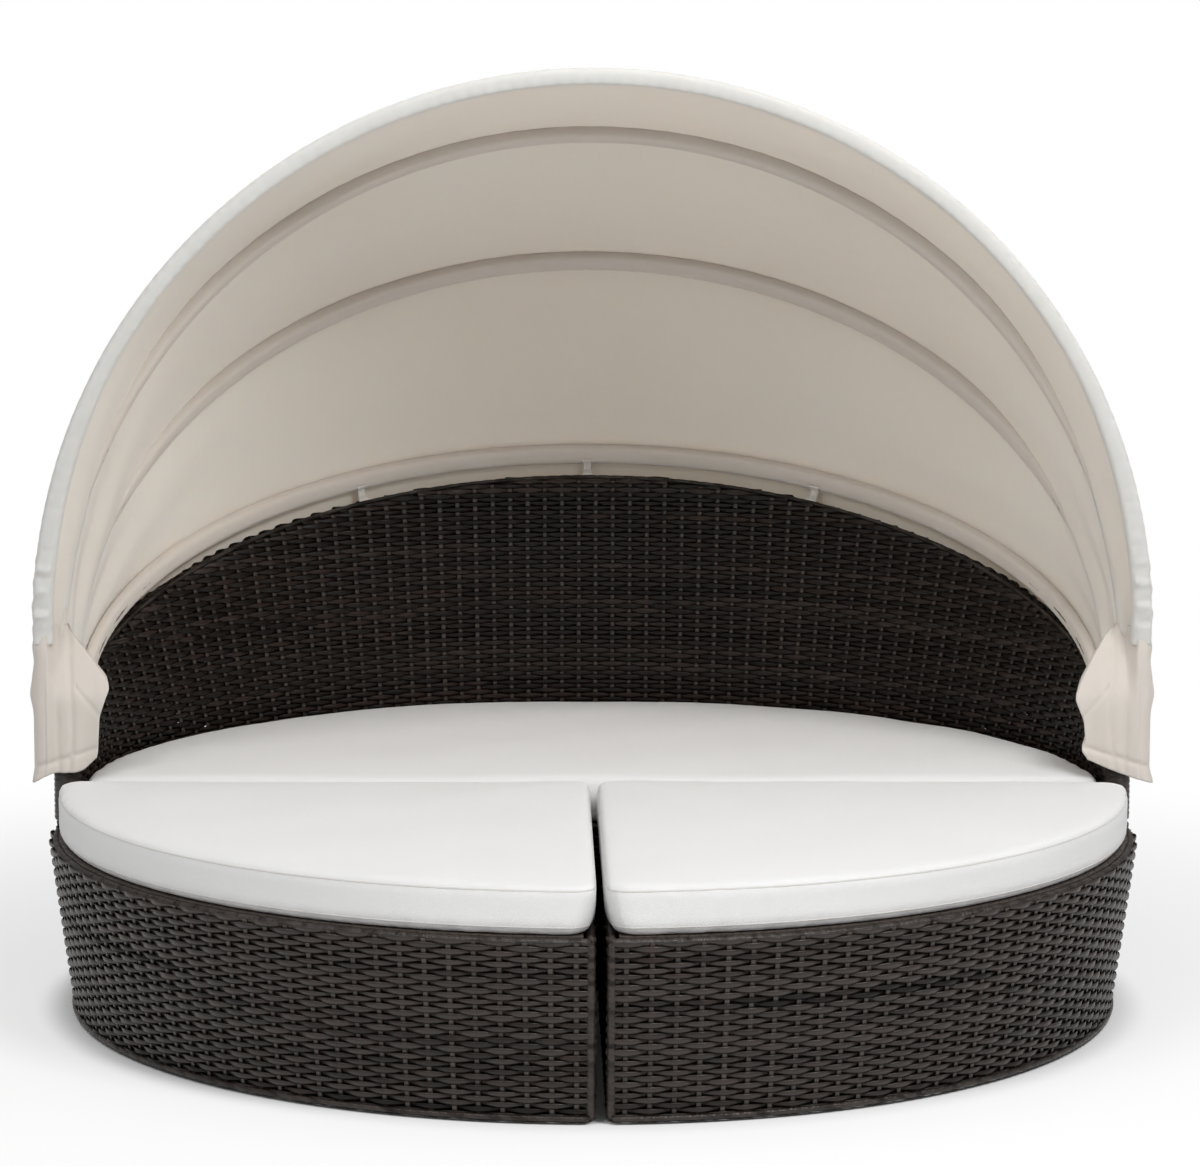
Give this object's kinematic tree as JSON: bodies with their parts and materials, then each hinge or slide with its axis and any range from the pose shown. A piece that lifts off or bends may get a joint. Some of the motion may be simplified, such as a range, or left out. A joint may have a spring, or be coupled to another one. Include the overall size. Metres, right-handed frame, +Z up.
{
  "type": "outdoor daybed with canopy",
  "caption": "Round outdoor daybed of woven resin sections with loose seat cushions, a curved back wall and a fabric canopy on folding bows.",
  "frame": {"origin": "on the floor under the middle of the round seat", "axes": "+Z up, -Y towards the open front of the daybed, +X to the right as seen from the front"},
  "size_m": [1.8732, 1.8098, 1.5375],
  "materials": {
    "wicker": "flat woven resin strands, dark brown with lighter and darker strands",
    "frame": "dark powder coat on square and round tube",
    "bow": "satin powder coat on round tube",
    "hardware": "zinc-plated",
    "glide": "black moulded",
    "canopy": "light beige woven polyester, matt",
    "cushion": "off-white woven polyester cover, matt"
  },
  "bodies": {
    "rear_section": {"rear_base_frame": "frame", "rear_back_frame": "frame", "rear_outer_wicker": "wicker", "rear_inner_wicker": "wicker", "rear_front_wicker": "wicker", "rear_front_rim": "wicker", "rear_top_roll": "wicker", "rear_left_arm_wicker": "wicker", "rear_right_arm_wicker": "wicker", "rear_seat_deck": "wicker", "rear_glide_right": "glide", "rear_glide_back_right": "glide", "rear_glide_back": "glide", "rear_glide_back_left": "glide", "rear_glide_left": "glide", "left_bow_bracket": "hardware", "left_bow_bolt": "hardware", "left_bow_washer_1": "hardware", "left_bow_washer_2": "hardware", "left_bow_washer_3": "hardware", "right_bow_bracket": "hardware", "right_bow_bolt": "hardware", "right_bow_washer_1": "hardware", "right_bow_washer_2": "hardware", "right_bow_washer_3": "hardware", "left_side_flap": "canopy", "right_side_flap": "canopy", "rear_bow": "bow", "canopy_rear_panel": "canopy", "left_tie_strap": "canopy", "middle_tie_strap": "canopy", "right_tie_strap": "canopy"},
    "rear_cushion": {"rear_cushion": "cushion"},
    "front_left_section": {"front_left_frame": "frame", "front_left_outer_wicker": "wicker", "front_left_side_wicker": "wicker", "front_left_back_wicker": "wicker", "front_left_top_rim": "wicker", "front_left_seat_deck": "wicker", "front_left_glide_arm": "glide", "front_left_glide_middle": "glide", "front_left_glide_front": "glide", "front_left_glide_center": "glide"},
    "front_left_cushion": {"front_left_cushion": "cushion"},
    "front_right_section": {"front_right_frame": "frame", "front_right_outer_wicker": "wicker", "front_right_side_wicker": "wicker", "front_right_back_wicker": "wicker", "front_right_top_rim": "wicker", "front_right_seat_deck": "wicker", "front_right_glide_arm": "glide", "front_right_glide_middle": "glide", "front_right_glide_front": "glide", "front_right_glide_center": "glide"},
    "front_right_cushion": {"front_right_cushion": "cushion"},
    "middle_rear_bow": {"middle_rear_bow": "bow", "canopy_middle_panel": "canopy"},
    "middle_front_bow": {"middle_front_bow": "bow", "canopy_front_panel": "canopy"},
    "front_bow": {"front_bow": "bow"}
  },
  "joints": [
    {"name": "front_left_section_slide", "type": "slide", "parent": "rear_section", "child": "front_left_section", "axis": [0, -1, 0], "range_m": [0, 0.6]},
    {"name": "front_right_section_slide", "type": "slide", "parent": "rear_section", "child": "front_right_section", "axis": [0, -1, 0], "range_m": [0, 0.6]},
    {"name": "rear_cushion_lift", "type": "slide", "parent": "rear_section", "child": "rear_cushion", "axis": [0, 0, 1], "range_m": [0, 0.04]},
    {"name": "front_left_cushion_lift", "type": "slide", "parent": "front_left_section", "child": "front_left_cushion", "axis": [0, 0, 1], "range_m": [0, 0.3]},
    {"name": "front_right_cushion_lift", "type": "slide", "parent": "front_right_section", "child": "front_right_cushion", "axis": [0, 0, 1], "range_m": [0, 0.3]},
    {"name": "middle_rear_bow_hinge", "type": "hinge", "parent": "rear_section", "child": "middle_rear_bow", "pos_m": [0, 0.0305, 0.50484], "axis": [-1, 0, 0], "range_deg": [0, 21.3], "deforming": ["canopy_rear_panel"]},
    {"name": "middle_front_bow_hinge", "type": "hinge", "parent": "middle_rear_bow", "child": "middle_front_bow", "pos_m": [0, 0.0305, 0.50484], "axis": [-1, 0, 0], "range_deg": [0, 21.3], "deforming": ["canopy_middle_panel"]},
    {"name": "front_bow_hinge", "type": "hinge", "parent": "middle_front_bow", "child": "front_bow", "pos_m": [0, 0.0305, 0.50484], "axis": [-1, 0, 0], "range_deg": [0, 21.3], "deforming": ["canopy_front_panel"]}
  ]
}
